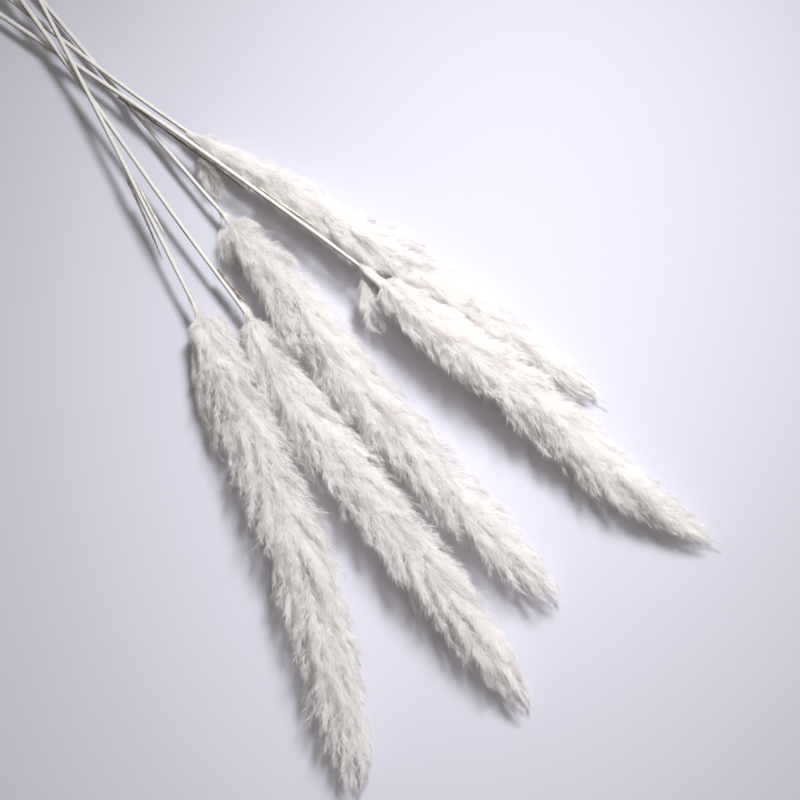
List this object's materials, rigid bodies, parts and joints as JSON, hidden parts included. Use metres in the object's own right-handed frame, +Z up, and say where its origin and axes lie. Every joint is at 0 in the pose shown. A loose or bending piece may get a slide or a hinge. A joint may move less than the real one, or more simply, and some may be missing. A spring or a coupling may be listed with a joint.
{
  "type": "bunch of dried reeds",
  "caption": "Bunch of dried, bleached reed plumes on thin hollow straws that cross near their cut ends, laid down loose.",
  "frame": {"origin": "the middle of the bunch's box, on the surface that it lies on", "axes": "+X from the cut ends to the plume tips, +Y to the side where the reed that lies on top is, +Z up"},
  "size_m": [0.6311, 0.262, 0.0376],
  "materials": {
    "straw": "matte bleached straw with fine lengthwise grooves",
    "plume": "soft silky off-white down",
    "sheath": "papery split leaf sheath, pale with brown edges"
  },
  "bodies": {
    "root": {"stem_1": "straw", "stem_2": "straw", "stem_3": "straw", "stem_4": "straw", "stem_5": "straw", "plume_1": "plume", "plume_2": "plume", "plume_3": "plume", "plume_4": "plume", "plume_5": "plume", "side_branch_1": "plume", "side_branch_2": "plume", "side_branch_3": "plume", "side_branch_4": "plume", "side_branch_5": "plume", "sheath_1_long": "sheath", "sheath_1_short": "sheath", "sheath_2_bract": "sheath", "sheath_5_long": "sheath", "sheath_5_short": "sheath"}
  },
  "joints": []
}
